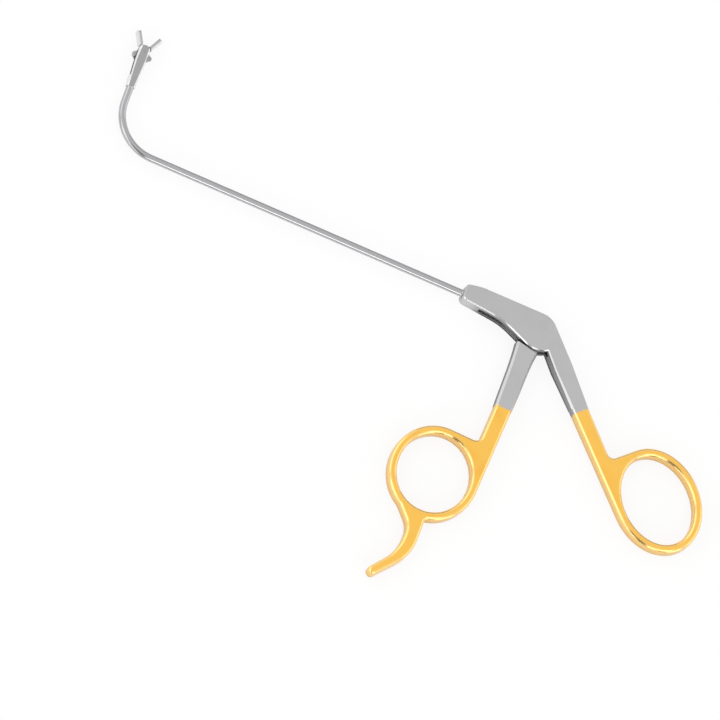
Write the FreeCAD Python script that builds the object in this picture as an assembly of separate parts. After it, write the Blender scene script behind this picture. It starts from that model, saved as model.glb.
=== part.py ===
import FreeCAD, Part
import math
import os

# Angled sinus forceps, lying on its side, drawn with its jaws open. Lengths are in millimetres.
# The shaft runs along X with the handles at +X, the tip is bent towards +Y and the handles hang
# towards -Y. Z is the thickness, and the housing's lower cheek rests on Z = 0. The origin is on
# that cheek, under the shaft axis, in the middle of the housing's straight front block.

Vec = FreeCAD.Vector

# Running clearances and gaps
PIN_PLAY = 0.03
SLIDE_PLAY = 0.08
OPEN_PIVOT_PLAY = 0.10
SOLDER_GAP = 0.01
WIRE_GAP = 0.12

# How far a cutting shape runs past the face it leaves
OVERRUN = 1.0

# Housing
HOUSING_THICKNESS = 6.2
HOUSING_NOSE = 12.6
HOUSING_TOP = 3.65
NOSE_TOP = 2.65
NOSE_BOTTOM = -2.3
NOSE_SHOULDER_X = -8.0
SWOOP_X = 2.3
SWOOP_Y = -3.85
HOUSING_CHAMFER = 0.4
NOSE_LOW_R = 1.7
NOSE_TOP_R = 1.2
NOSE_SHOULDER_R = 18.0
SWOOP_R = 22.0
REAR_CORNER_R = 6.5
HUB_LEFT_ANGLE = -114.5
HUB_RIGHT_ANGLE = -59.0
SLOT_WIDTH = 2.6
SLOT_FRONT = -6.0
SLOT_TOP = 2.6
SLOT_REAR_TOP_X = 18.0
SLOT_REAR_X = 19.6
SLOT_FRONT_R = 0.8
SLOT_REAR_R = 1.5

# Lever pivot
PIVOT_X = 14.5
PIVOT_Y = 0.0
PIVOT_PIN_R = 1.2
HUB_R = 8.35
LEVER_SWING = 17.0

# Rear handle and thumb ring
REAR_SLOPE = -46.5
HANDLE_THICKNESS = 5.0
HANDLE_CHAMFER = 0.7
RING_ROUNDING = 1.15
THUMB_X = 68.0
THUMB_Y = -37.9
THUMB_MAJOR = 14.5
THUMB_MINOR = 11.1
THUMB_BAND = 2.8
REAR_WIDTH_TOP = 5.6
REAR_WIDTH_RING = 4.7
REAR_TOP_SHIFT = 0.3
REAR_ROOT = 50.0
REAR_PLATED = 36.5
CROTCH_R = 2.0

# Lever handle, finger ring and finger rest
SHOULDER_LEFT = 5.8
SHOULDER_RIGHT = 1.7
SHOULDER_LEFT_DROP = 7.75
SHOULDER_RIGHT_DROP = 9.4
STEM_WAIST_Y = -15.8
STEM_WAIST_LEFT = 9.15
STEM_WAIST_RIGHT = 15.5
STEM_MID_Y = -23.0
STEM_MID_LEFT = 9.2
STEM_MID_RIGHT = 15.3
STEM_SLOPE = -91.8
STEM_PLATED = 28.5
STEM_FAR_FLARE = 0.45
STEM_NEAR_TOP = 9.65
STEM_NEAR_RING = 9.4
FINGER_X = -1.2
FINGER_Y = -58.9
FINGER_MAJOR = 12.8
FINGER_MINOR = 11.9
FINGER_BAND = 2.8
REST_ROOT = 10.2
REST_HIP_SHIFT = 0.3
REST_HIP_WIDTH = 4.5
REST_BEND_TOP_DROP = 19.3
REST_BEND_TOP_R = 7.0
REST_BEND_DROP = 28.1
REST_BEND_R = 15.5
REST_TIP_SHIFT = -8.3
REST_TIP_DROP = 38.7
REST_TIP_WIDTH = 3.0
REST_TIP_SLOPE = -38.0
REST_TIP_R = 1.4
REST_CROTCH_R = 0.9
REST_BLEND_R = 6.0

# Lever tongue and the wire's joint in it
TONGUE_PLAY = 0.1
TONGUE_HUB_R = 2.4
TONGUE_LEFT = 3.0
TONGUE_RIGHT = 1.3
TONGUE_SINK = 1.0
FORK_SLIT = 1.3
FORK_TOP = 3.4
FORK_BOTTOM = 7.6
FORK_RIGHT = 0.8
FORK_CORNER_R = 0.6
ROD_TRAVEL = 1.65
EYE_R = 1.3
EYE_THICKNESS = 1.14
EYE_PIN_R = 0.6
EYE_SHANK_R = 0.85
EYE_SHANK_SINK = 0.8
EYE_SHANK_LENGTH = 2.6

# Shaft tube
TUBE_R = 1.2
TUBE_BORE_R = 0.85
TUBE_SEAT = 6.0
TIP_AXIS = 133.8
BEND_R = 14.0
TIP_SEAT_Y = 20.6

# Pull wire
WIRE_R = 0.6
CRANK_START = -1.0
CRANK_END = 9.2
CRANK_R = 6.0

# Jaw clevis
CLEVIS_BASE_Y = 18.9
JAW_PIVOT_Y = 31.2
CLEVIS_R = 2.05
CLEVIS_BASE_R = 1.55
CLEVIS_FULL_Y = 28.5
CLEVIS_FLAT_BASE = 1.3
CLEVIS_FLAT_TIP = 1.7
CLEVIS_SLOT = 2.0
CLEVIS_SLOT_Y = 22.6

# Jaws, links and their pins
JAW_SWING = 27.5
JAW_PIN_R = 0.5
JAW_PIN_SEAT = 0.5
JAW_HUB_R = 1.2
TAIL_LENGTH = 2.8
TAIL_OPEN_ANGLE = 60.0
TAIL_EYE_R = 0.8
TAIL_THICKNESS = 0.4
TAIL_GAP = 0.04
LINK_LENGTH = 3.4
LINK_EYE_R = 0.72
LINK_THICKNESS = 0.4
LINK_GAP = 0.06
LINK_PIN_R = 0.35
CUP_REACH = 7.3
CUP_START = 2.45
CUP_NECK_SINK = 0.6
CUP_TIP_FALL = 0.2
CUP_BASE_DEPTH = 1.3
CUP_TIP_DEPTH = 1.55
CUP_WIDTH = 2.8
CUP_FACE_GAP = 0.03
CUP_POCKET_START = 3.3
CUP_POCKET_WALL = 0.45
CUP_POCKET_DEPTH = 0.85
CUP_ROUNDING = 0.35

# Tang at the front end of the wire
TANG_SHANK_R = 0.7
TANG_SHANK_LENGTH = 2.4
TANG_EYE_R = 0.75

# Places worked out from the sizes above
MID_Z = HOUSING_THICKNESS / 2
PIVOT = Vec(PIVOT_X, PIVOT_Y, 0)
JAW_PIVOT = Vec(-TIP_AXIS, JAW_PIVOT_Y, 0)
BEND_CENTRE = Vec(BEND_R - TIP_AXIS, BEND_R, 0)
ROD_DROP = ROD_TRAVEL / (2 * math.tan(math.radians(LEVER_SWING / 2)))
REST_HIP_X = FINGER_X + REST_HIP_SHIFT
REST_BEND_TOP_Y = FINGER_Y - REST_BEND_TOP_DROP
REST_BEND_Y = FINGER_Y - REST_BEND_DROP
REST_TIP = Vec(FINGER_X + REST_TIP_SHIFT, FINGER_Y - REST_TIP_DROP, 0)
EYE_CENTRE = Vec(PIVOT_X - ROD_TRAVEL / 2, PIVOT_Y - ROD_DROP, 0)
REAR_NEAR = THUMB_MINOR + THUMB_BAND - REAR_WIDTH_RING
REAR_NEAR_TOP = REAR_NEAR - REAR_TOP_SHIFT
STEM_FAR_TOP = FINGER_MINOR + FINGER_BAND + STEM_FAR_FLARE
TAIL_HALF_X = TAIL_LENGTH * math.sin(math.radians(TAIL_OPEN_ANGLE))
TAIL_DROP = TAIL_LENGTH * math.cos(math.radians(TAIL_OPEN_ANGLE))
ROD_PIN_Y = JAW_PIVOT_Y - TAIL_DROP - math.sqrt(LINK_LENGTH ** 2 - TAIL_HALF_X ** 2)
LINK_INNER = TAIL_GAP + TAIL_THICKNESS + LINK_GAP
LINK_OUTER = LINK_INNER + LINK_THICKNESS


def turned(x, y, angle):
    """Vector (x, y) turned by an angle in degrees."""
    a = math.radians(angle)
    return Vec(x * math.cos(a) - y * math.sin(a), x * math.sin(a) + y * math.cos(a), 0)


def corner_arc(before, corner, after, radius):
    """Start, middle and end of the arc that rounds a corner."""
    to_before = (before - corner).normalize()
    to_after = (after - corner).normalize()
    half = to_before.getAngle(to_after) / 2
    run = radius / math.tan(half)
    bisector = (to_before + to_after).normalize()
    centre = corner + bisector * (radius / math.sin(half))
    middle = centre - bisector * radius
    return corner + to_before * run, middle, corner + to_after * run


def outline(corners):
    """Closed wire through corners (x, y, radius). Two more values give a point on an arc to it."""
    points = [Vec(c[0], c[1], 0) for c in corners]
    count = len(points)
    starts = list(points)
    ends = list(points)
    edges = []
    for i, corner in enumerate(corners):
        if corner[2] > 0:
            start, middle, end = corner_arc(points[i - 1], points[i], points[(i + 1) % count], corner[2])
            starts[i] = start
            ends[i] = end
            edges.append(Part.Arc(start, middle, end).toShape())
    for i, corner in enumerate(corners):
        if len(corner) > 3:
            via = Vec(corner[3], corner[4], 0)
            edges.append(Part.Arc(ends[i - 1], via, starts[i]).toShape())
        elif (ends[i - 1] - starts[i]).Length > 1e-6:
            edges.append(Part.LineSegment(ends[i - 1], starts[i]).toShape())
    return Part.Wire(Part.__sortEdges__(edges))


def plate(wire, thickness):
    """Plate of a thickness, centred on the middle plane."""
    face = Part.Face(wire)
    face.translate(Vec(0, 0, MID_Z - thickness / 2))
    return face.extrude(Vec(0, 0, thickness))


def disc(centre, radius, low, high):
    """Round disc or pin, between two heights measured from the middle plane."""
    return Part.makeCylinder(radius, high - low, Vec(centre.x, centre.y, MID_Z + low))


def through_hole(centre, radius):
    """Round cutter that goes through every piece at a place."""
    return disc(centre, radius, -HOUSING_THICKNESS, HOUSING_THICKNESS)


def strap(first, second, first_r, second_r, low, high):
    """Flat strap with round ends, as wide as each end."""
    along = second - first
    distance = along.Length
    lean = math.degrees(math.asin((first_r - second_r) / distance))
    heading = math.degrees(math.atan2(along.y, along.x))
    side = 90 - lean
    a = first + turned(first_r, 0, heading + side)
    b = second + turned(second_r, 0, heading + side)
    c = second + turned(second_r, 0, heading - side)
    d = first + turned(first_r, 0, heading - side)
    tip = second + turned(second_r, 0, heading)
    tail = first - turned(first_r, 0, heading)
    edges = [
        Part.LineSegment(a, b).toShape(),
        Part.Arc(b, tip, c).toShape(),
        Part.LineSegment(c, d).toShape(),
        Part.Arc(d, tail, a).toShape(),
    ]
    face = Part.Face(Part.Wire(edges))
    face.translate(Vec(0, 0, MID_Z + low))
    return face.extrude(Vec(0, 0, high - low))


def bar_section(left, right, thickness, chamfer):
    """Eight-sided section across a bar, between two points of the middle plane."""
    across = (right - left).normalize()
    half = thickness / 2
    corners = [
        (0, chamfer - half),
        (chamfer, -half),
    ]
    points = []
    for run, z in corners:
        points.append(left + across * run + Vec(0, 0, MID_Z + z))
    for run, z in reversed(corners):
        points.append(right - across * run + Vec(0, 0, MID_Z + z))
    for run, z in corners:
        points.append(right - across * run + Vec(0, 0, MID_Z - z))
    for run, z in reversed(corners):
        points.append(left + across * run + Vec(0, 0, MID_Z - z))
    return Part.makePolygon(points + points[:1])


def flat_edges(solid, thickness, joint):
    """Edges round both flat faces of a plate, without those across it at a joint's middle."""
    chosen = []
    for edge in solid.Edges:
        middle = edge.valueAt((edge.FirstParameter + edge.LastParameter) / 2)
        heights = [v.Z for v in edge.Vertexes] + [middle.z]
        flat = all(abs(abs(z - MID_Z) - thickness / 2) < 1e-4 for z in heights)
        if flat and math.hypot(middle.x - joint.x, middle.y - joint.y) > 0.1:
            chosen.append(edge)
    return chosen


def upright_edge(solid, place):
    """Upright edge of a plate that is nearest to a place."""
    best = None
    for edge in solid.Edges:
        ends = edge.Vertexes
        if len(ends) == 2 and math.hypot(ends[0].X - ends[1].X, ends[0].Y - ends[1].Y) < 1e-6:
            distance = math.hypot(ends[0].X - place.x, ends[0].Y - place.y)
            if best is None or distance < best[0]:
                best = (distance, edge)
    return best[1]


def rear_point(along, across):
    """Point in the thumb ring's own frame: along the handle, and across it towards its band."""
    return Vec(THUMB_X, THUMB_Y, 0) + turned(along, -across, REAR_SLOPE)


def finger_point(along, across):
    """Point in the finger ring's own frame: along the lever, and across it towards its band."""
    return Vec(FINGER_X, FINGER_Y, 0) + turned(along, across, STEM_SLOPE)


def rear_far(along):
    """How far across the rear handle's inner edge lies, at a place along it."""
    flare = REAR_WIDTH_TOP - REAR_WIDTH_RING
    return THUMB_MINOR + THUMB_BAND - flare * along / REAR_ROOT


def housing_block():
    """Slotted housing up to the root of the rear handle."""
    root_outer = rear_point(-REAR_ROOT, REAR_NEAR_TOP)
    root_inner = rear_point(-REAR_ROOT, rear_far(-REAR_ROOT))
    corner_run = (HOUSING_TOP - root_outer.y) / math.tan(math.radians(-REAR_SLOPE))
    hub_left = PIVOT + turned(HUB_R, 0, HUB_LEFT_ANGLE)
    hub_low = PIVOT + turned(HUB_R, 0, (HUB_LEFT_ANGLE + HUB_RIGHT_ANGLE) / 2)
    hub_right = PIVOT + turned(HUB_R, 0, HUB_RIGHT_ANGLE)
    wire = outline([
        (-HOUSING_NOSE, NOSE_BOTTOM, NOSE_LOW_R),
        (SWOOP_X, SWOOP_Y, SWOOP_R),
        (hub_left.x, hub_left.y, 0),
        (hub_right.x, hub_right.y, 0, hub_low.x, hub_low.y),
        (root_inner.x, root_inner.y, 0),
        (root_outer.x, root_outer.y, 0),
        (root_outer.x - corner_run, HOUSING_TOP, REAR_CORNER_R),
        (NOSE_SHOULDER_X, HOUSING_TOP, NOSE_SHOULDER_R),
        (-HOUSING_NOSE, NOSE_TOP, NOSE_TOP_R),
    ])
    block = plate(wire, HOUSING_THICKNESS)
    root_middle = (root_outer + root_inner) / 2
    edges = flat_edges(block, HOUSING_THICKNESS, root_middle)
    return block.makeChamfer(HOUSING_CHAMFER, edges)


def rear_bar():
    """Steel part of the rear handle, which thins from the housing to the plated ring."""
    stations = [
        (-REAR_ROOT, REAR_NEAR_TOP, HOUSING_THICKNESS, HOUSING_CHAMFER),
        (-REAR_PLATED, REAR_NEAR, HANDLE_THICKNESS, HANDLE_CHAMFER),
    ]
    sections = []
    for along, near, thickness, chamfer in stations:
        inner = rear_point(along, rear_far(along))
        outer = rear_point(along, near)
        sections.append(bar_section(inner, outer, thickness, chamfer))
    return Part.makeLoft(sections, True, True)


def ring_plate(point, half_axes, band, start, far, near):
    """Plate of a finger ring with the end of its handle along one side.

    The point function gives places in the ring's own frame. The handle comes in at start, with
    its far edge on the ring's side line and its near edge ending in a rounded crotch. Far and
    near hold how far across these edges are, at the start and at the ring.
    """
    major = half_axes[0] + band
    minor = half_axes[1] + band
    centre = point(0, 0)
    oval = Part.Ellipse(point(major, 0), point(0, -minor), centre)
    rim = Part.ArcOfEllipse(oval, -math.pi / 2, math.pi).toShape()
    start_far = point(start, far)
    start_near = point(start, near[0])
    crotch = corner_arc(start_near, point(-major, near[1]), point(-major, 0), CROTCH_R)
    edges = [
        rim,
        Part.LineSegment(point(-major, 0), crotch[2]).toShape(),
        Part.Arc(crotch[2], crotch[1], crotch[0]).toShape(),
        Part.LineSegment(crotch[0], start_near).toShape(),
        Part.LineSegment(start_near, start_far).toShape(),
        Part.LineSegment(start_far, point(0, minor)).toShape(),
    ]
    return plate(Part.Wire(Part.__sortEdges__(edges)), HANDLE_THICKNESS)


def ring_hole(point, half_axes):
    """Oval hole through a finger ring."""
    oval = Part.Ellipse(point(half_axes[0], 0), point(0, -half_axes[1]), point(0, 0))
    return plate(Part.Wire(oval.toShape()), 2 * HANDLE_THICKNESS)


def thumb_ring():
    """Plated end of the rear handle with its oval ring."""
    oval = (THUMB_MAJOR, THUMB_MINOR)
    near = (REAR_NEAR, REAR_NEAR)
    ring = ring_plate(rear_point, oval, THUMB_BAND, -REAR_PLATED, rear_far(-REAR_PLATED), near)
    ring = ring.cut(ring_hole(rear_point, oval))
    start = rear_point(-REAR_PLATED, (rear_far(-REAR_PLATED) + REAR_NEAR) / 2)
    return ring.makeFillet(RING_ROUNDING, flat_edges(ring, HANDLE_THICKNESS, start))


def slot_cut():
    """Slot that opens the housing's underside for the lever's tongue and the wire."""
    low = PIVOT_Y - HUB_R - OVERRUN
    wire = outline([
        (SLOT_FRONT, low, 0),
        (SLOT_REAR_X, low, 0),
        (SLOT_REAR_X, SWOOP_Y, 0),
        (SLOT_REAR_TOP_X, SLOT_TOP, SLOT_REAR_R),
        (SLOT_FRONT, SLOT_TOP, SLOT_FRONT_R),
    ])
    return plate(wire, SLOT_WIDTH)


def x_rod(start, end, y, radius):
    """Round bar along X in the middle plane."""
    return Part.makeCylinder(radius, end - start, Vec(start, y, MID_Z), Vec(1, 0, 0))


def y_rod(x, start, end, radius):
    """Round bar along Y in the middle plane."""
    return Part.makeCylinder(radius, end - start, Vec(x, start, MID_Z), Vec(0, 1, 0))


def fixed_handle():
    """Housing, rear handle and thumb ring, one forging."""
    body = housing_block().fuse([rear_bar(), thumb_ring()])
    tube_end = TUBE_SEAT - HOUSING_NOSE
    seat = x_rod(-HOUSING_NOSE - OVERRUN, tube_end + SOLDER_GAP, 0, TUBE_R + SOLDER_GAP)
    channel = x_rod(tube_end, SLOT_FRONT + OVERRUN, 0, TUBE_BORE_R)
    pin_hole = through_hole(PIVOT, PIVOT_PIN_R + SOLDER_GAP)
    return body.cut([slot_cut(), seat, channel, pin_hole]).removeSplitter()


def lever_stem():
    """Steel part of the front handle, from its shoulder to the plating."""
    stations = [
        (
            PIVOT + Vec(-SHOULDER_LEFT, -SHOULDER_LEFT_DROP, 0),
            PIVOT + Vec(SHOULDER_RIGHT, -SHOULDER_RIGHT_DROP, 0),
        ),
        (Vec(STEM_WAIST_LEFT, STEM_WAIST_Y, 0), Vec(STEM_WAIST_RIGHT, STEM_WAIST_Y, 0)),
        (Vec(STEM_MID_LEFT, STEM_MID_Y, 0), Vec(STEM_MID_RIGHT, STEM_MID_Y, 0)),
        (finger_point(-STEM_PLATED, STEM_NEAR_TOP), finger_point(-STEM_PLATED, STEM_FAR_TOP)),
    ]
    sections = [bar_section(a, b, HANDLE_THICKNESS, HANDLE_CHAMFER) for a, b in stations]
    return Part.makeLoft(sections, True, False)


def finger_rest():
    """Curved rest for the next finger, below the finger ring."""
    hip = REST_HIP_WIDTH / 2
    tip_half = turned(REST_TIP_WIDTH / 2, 0, REST_TIP_SLOPE)
    tip_left = REST_TIP - tip_half
    tip_right = REST_TIP + tip_half
    root_left = finger_point(REST_ROOT, -REST_ROOT)
    inside = finger_point(FINGER_MAJOR + FINGER_BAND / 2, 0)
    return plate(outline([
        (root_left.x, root_left.y, 0),
        (REST_HIP_X - hip, REST_BEND_TOP_Y, REST_BEND_TOP_R),
        (REST_HIP_X - hip, REST_BEND_Y, REST_BEND_R),
        (tip_left.x, tip_left.y, REST_TIP_R),
        (tip_right.x, tip_right.y, REST_TIP_R),
        (REST_HIP_X + hip, REST_BEND_Y, REST_BEND_R),
        (REST_HIP_X + hip, inside.y, 0),
        (inside.x, inside.y, 0),
    ]), HANDLE_THICKNESS)


def finger_plate():
    """Plated lower end of the lever with its ring and the curved finger rest."""
    oval = (FINGER_MAJOR, FINGER_MINOR)
    near = (STEM_NEAR_TOP, STEM_NEAR_RING)
    ring = ring_plate(finger_point, oval, FINGER_BAND, -STEM_PLATED, STEM_FAR_TOP, near)
    solid = ring.fuse(finger_rest()).removeSplitter()
    low = FINGER_Y - FINGER_MAJOR - FINGER_BAND
    crotch = upright_edge(solid, Vec(REST_HIP_X + REST_HIP_WIDTH / 2, low, 0))
    solid = solid.makeFillet(REST_CROTCH_R, [crotch])
    blend = upright_edge(solid, finger_point(REST_ROOT, -REST_ROOT))
    solid = solid.makeFillet(REST_BLEND_R, [blend])
    solid = solid.cut(ring_hole(finger_point, oval))
    start = finger_point(-STEM_PLATED, (STEM_FAR_TOP + STEM_NEAR_TOP) / 2)
    return solid.makeFillet(RING_ROUNDING, flat_edges(solid, HANDLE_THICKNESS, start))


def lever_tongue():
    """Thin tongue of the lever, forked where the wire's eye enters it."""
    half = SLOT_WIDTH / 2 - TONGUE_PLAY
    root_y = PIVOT_Y - SHOULDER_RIGHT_DROP - TONGUE_SINK
    blade = plate(outline([
        (PIVOT_X - TONGUE_HUB_R, PIVOT_Y, 0),
        (PIVOT_X - TONGUE_LEFT, root_y, 0),
        (PIVOT_X + TONGUE_RIGHT, root_y, 0),
        (PIVOT_X + TONGUE_HUB_R, PIVOT_Y, 0),
    ]), 2 * half)
    hub = disc(PIVOT, TONGUE_HUB_R, -half, half)
    slit = plate(outline([
        (PIVOT_X - TONGUE_LEFT - OVERRUN, PIVOT_Y - FORK_BOTTOM, 0),
        (PIVOT_X + FORK_RIGHT, PIVOT_Y - FORK_BOTTOM, FORK_CORNER_R),
        (PIVOT_X + FORK_RIGHT, PIVOT_Y - FORK_TOP, FORK_CORNER_R),
        (PIVOT_X - TONGUE_LEFT - OVERRUN, PIVOT_Y - FORK_TOP, 0),
    ]), FORK_SLIT)
    pin_hole = through_hole(PIVOT, PIVOT_PIN_R + PIN_PLAY)
    eye_hole = through_hole(EYE_CENTRE, EYE_PIN_R + SLIDE_PLAY)
    return blade.fuse(hub).cut([slit, pin_hole, eye_hole])


def lever_handle():
    """Front handle: tongue, stem, finger ring and finger rest, one forging."""
    return lever_stem().fuse([lever_tongue(), finger_plate()]).removeSplitter()


def lever_pivot_pin():
    """Pivot pin, ground flush with both cheeks."""
    half = HOUSING_THICKNESS / 2
    return disc(PIVOT, PIVOT_PIN_R, -half, half)


def shaft_tube():
    """Tube soldered into the housing and the clevis, with its one bend."""
    start = TUBE_SEAT - HOUSING_NOSE
    route = [
        Part.LineSegment(Vec(start, 0, MID_Z), Vec(BEND_CENTRE.x, 0, MID_Z)).toShape(),
        bend_edge(0, 90),
        Part.LineSegment(Vec(-TIP_AXIS, BEND_R, MID_Z), Vec(-TIP_AXIS, TIP_SEAT_Y, MID_Z)).toShape(),
    ]
    spine = Part.Wire(route)
    outer = swept_round(spine, Vec(start, 0, MID_Z), TUBE_R)
    bore = swept_round(spine, Vec(start, 0, MID_Z), TUBE_BORE_R)
    return outer.cut(bore)


def bend_edge(first, last):
    """Arc of the bend between two angles, measured from where the straight shaft ends."""
    def place(angle):
        point = BEND_CENTRE + turned(0, -BEND_R, -angle)
        return Vec(point.x, point.y, MID_Z)
    return Part.Arc(place(first), place((first + last) / 2), place(last)).toShape()


def swept_round(spine, start, radius):
    """Round bar of a radius along a path that starts level with X."""
    circle = Part.Wire(Part.makeCircle(radius, start, Vec(-1, 0, 0)))
    return spine.makePipeShell([circle], True, False)


def pull_wire_rear():
    """Straight length of the wire, cranked down to the lever's fork."""
    front = Vec(BEND_CENTRE.x + WIRE_GAP, 0, MID_Z)
    high = Vec(CRANK_START, 0, MID_Z)
    low = Vec(CRANK_END, EYE_CENTRE.y, MID_Z)
    end = Vec(EYE_CENTRE.x - EYE_SHANK_LENGTH, EYE_CENTRE.y, MID_Z)
    first = corner_arc(front, high, low, CRANK_R)
    second = corner_arc(high, low, end, CRANK_R)
    route = [
        Part.LineSegment(front, first[0]).toShape(),
        Part.Arc(*first).toShape(),
        Part.LineSegment(first[2], second[0]).toShape(),
        Part.Arc(*second).toShape(),
        Part.LineSegment(second[2], end).toShape(),
    ]
    return swept_round(Part.Wire(route), front, WIRE_R)


def pull_wire_bend():
    """Length of the wire that slides round the bend."""
    spine = Part.Wire(bend_edge(0, 90))
    return swept_round(spine, Vec(BEND_CENTRE.x, 0, MID_Z), WIRE_R)


def tang_base_y():
    """Place along the tip axis where the tang's round shank starts."""
    return CLEVIS_SLOT_Y - TANG_SHANK_LENGTH / 2


def pull_wire_front():
    """Length of the wire inside the tip."""
    return y_rod(-TIP_AXIS, BEND_R + WIRE_GAP, tang_base_y(), WIRE_R)


def wire_eye():
    """Flat eye brazed to the rear end of the wire."""
    half = EYE_THICKNESS / 2
    shank_start = EYE_CENTRE.x - EYE_SHANK_LENGTH
    shank = x_rod(shank_start, EYE_CENTRE.x - EYE_SHANK_SINK, EYE_CENTRE.y, EYE_SHANK_R)
    flats = Part.makeBox(
        EYE_SHANK_LENGTH, 2 * EYE_SHANK_R, EYE_THICKNESS,
        Vec(shank_start, EYE_CENTRE.y - EYE_SHANK_R, MID_Z - half),
    )
    eye = disc(EYE_CENTRE, EYE_R, -half, half).fuse(shank.common(flats))
    return eye.cut(through_hole(EYE_CENTRE, EYE_PIN_R + SOLDER_GAP))


def wire_eye_pin():
    """Cross pin through the eye and the lever's fork."""
    half = SLOT_WIDTH / 2 - TONGUE_PLAY
    return disc(EYE_CENTRE, EYE_PIN_R, -half, half)


def wire_tang():
    """Blade brazed to the front end of the wire, with an eye for the links' pin."""
    base = tang_base_y()
    eye = Vec(-TIP_AXIS, ROD_PIN_Y, 0)
    half = LINK_INNER - LINK_GAP
    shank = y_rod(-TIP_AXIS, base, base + TANG_SHANK_LENGTH, TANG_SHANK_R)
    root = Vec(-TIP_AXIS, base + TANG_SHANK_LENGTH - TANG_SHANK_R, 0)
    blade = strap(root, eye, TANG_SHANK_R, TANG_EYE_R, -half, half)
    return shank.fuse(blade).cut(through_hole(eye, LINK_PIN_R + SOLDER_GAP))


def jaw_clevis():
    """Forked head soldered on the tube, round with two flat sides."""
    axis = Vec(-TIP_AXIS, 0, MID_Z)
    top = JAW_PIVOT_Y + CLEVIS_R
    profile = [
        axis + Vec(0, CLEVIS_BASE_Y, 0),
        axis + Vec(CLEVIS_BASE_R, CLEVIS_BASE_Y, 0),
        axis + Vec(CLEVIS_R, CLEVIS_FULL_Y, 0),
        axis + Vec(CLEVIS_R, top, 0),
        axis + Vec(0, top, 0),
    ]
    face = Part.Face(Part.makePolygon(profile + profile[:1]))
    round_head = face.revolve(axis, Vec(0, 1, 0), 360)
    sides = [
        Vec(0, CLEVIS_BASE_Y, CLEVIS_FLAT_BASE),
        Vec(0, CLEVIS_BASE_Y, -CLEVIS_FLAT_BASE),
        Vec(0, top, -CLEVIS_FLAT_TIP),
        Vec(0, top, CLEVIS_FLAT_TIP),
    ]
    wedge_face = Part.Face(Part.makePolygon(sides + sides[:1]))
    wedge = wedge_face.extrude(Vec(4 * CLEVIS_R, 0, 0))
    wedge.translate(axis - Vec(2 * CLEVIS_R, 0, 0))
    nose = strap(
        Vec(-TIP_AXIS, CLEVIS_BASE_Y - CLEVIS_R, 0), JAW_PIVOT,
        CLEVIS_R, CLEVIS_R, -CLEVIS_R, CLEVIS_R,
    )
    head = round_head.common(wedge).common(nose)
    slot = Part.makeBox(
        4 * CLEVIS_R, top, CLEVIS_SLOT,
        Vec(-TIP_AXIS - 2 * CLEVIS_R, CLEVIS_SLOT_Y, MID_Z - CLEVIS_SLOT / 2),
    )
    seat = y_rod(-TIP_AXIS, CLEVIS_BASE_Y - OVERRUN, TIP_SEAT_Y + SOLDER_GAP, TUBE_R + SOLDER_GAP)
    channel = y_rod(-TIP_AXIS, TIP_SEAT_Y, CLEVIS_SLOT_Y + OVERRUN, TUBE_BORE_R)
    pin_hole = through_hole(JAW_PIVOT, JAW_PIN_R + SOLDER_GAP)
    return head.cut([slot, seat, channel, pin_hole])


def cup_body():
    """Half cup of the left jaw, closed, with its pocket facing the other jaw."""
    base = JAW_PIVOT
    reach = CUP_REACH
    plan = plate(outline([
        (base.x - CUP_FACE_GAP, base.y, 0),
        (base.x - CUP_FACE_GAP, base.y + reach, CUP_ROUNDING / 2),
        (base.x - CUP_TIP_DEPTH, base.y + reach - CUP_TIP_FALL, CUP_ROUNDING * 2),
        (base.x - CUP_BASE_DEPTH, base.y, 0),
    ]), CUP_WIDTH)
    half = CUP_WIDTH / 2
    shell = Part.makeCylinder(1, reach + OVERRUN, Vec(0, 0, 0), Vec(0, 1, 0))
    oval = FreeCAD.Matrix()
    oval.scale(CUP_TIP_DEPTH, 1, half)
    shell = shell.transformGeometry(oval)
    shell.translate(Vec(base.x - CUP_FACE_GAP, base.y, MID_Z))
    end = ellipse_tip(base.y + reach, half)
    cup = plan.common(shell).common(end)
    swing_clear = through_hole(JAW_PIVOT, CUP_START)
    return cup.cut([swing_clear, cup_pocket()])


def ellipse_tip(top, half):
    """Plate across the jaw that rounds the cup's end as it is seen from its face."""
    width = 2 * half
    corners = [
        Vec(0, JAW_PIVOT_Y, -half),
        Vec(0, top - half, -half),
        Vec(0, top - half, half),
        Vec(0, JAW_PIVOT_Y, half),
    ]
    edges = [
        Part.LineSegment(corners[0], corners[1]).toShape(),
        Part.Arc(corners[1], Vec(0, top, 0), corners[2]).toShape(),
        Part.LineSegment(corners[2], corners[3]).toShape(),
        Part.LineSegment(corners[3], corners[0]).toShape(),
    ]
    face = Part.Face(Part.Wire(edges))
    face.translate(Vec(-TIP_AXIS - width, 0, MID_Z))
    return face.extrude(Vec(2 * width, 0, 0))


def cup_pocket():
    """Oval hollow in the cup's face."""
    half_length = (CUP_REACH - CUP_POCKET_WALL - CUP_POCKET_START) / 2
    half_width = CUP_WIDTH / 2 - CUP_POCKET_WALL
    ball = Part.makeSphere(1)
    oval = FreeCAD.Matrix()
    oval.scale(CUP_POCKET_DEPTH, half_length, half_width)
    ball = ball.transformGeometry(oval)
    ball.translate(Vec(-TIP_AXIS - CUP_FACE_GAP, JAW_PIVOT_Y + CUP_POCKET_START + half_length, MID_Z))
    return ball


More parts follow.
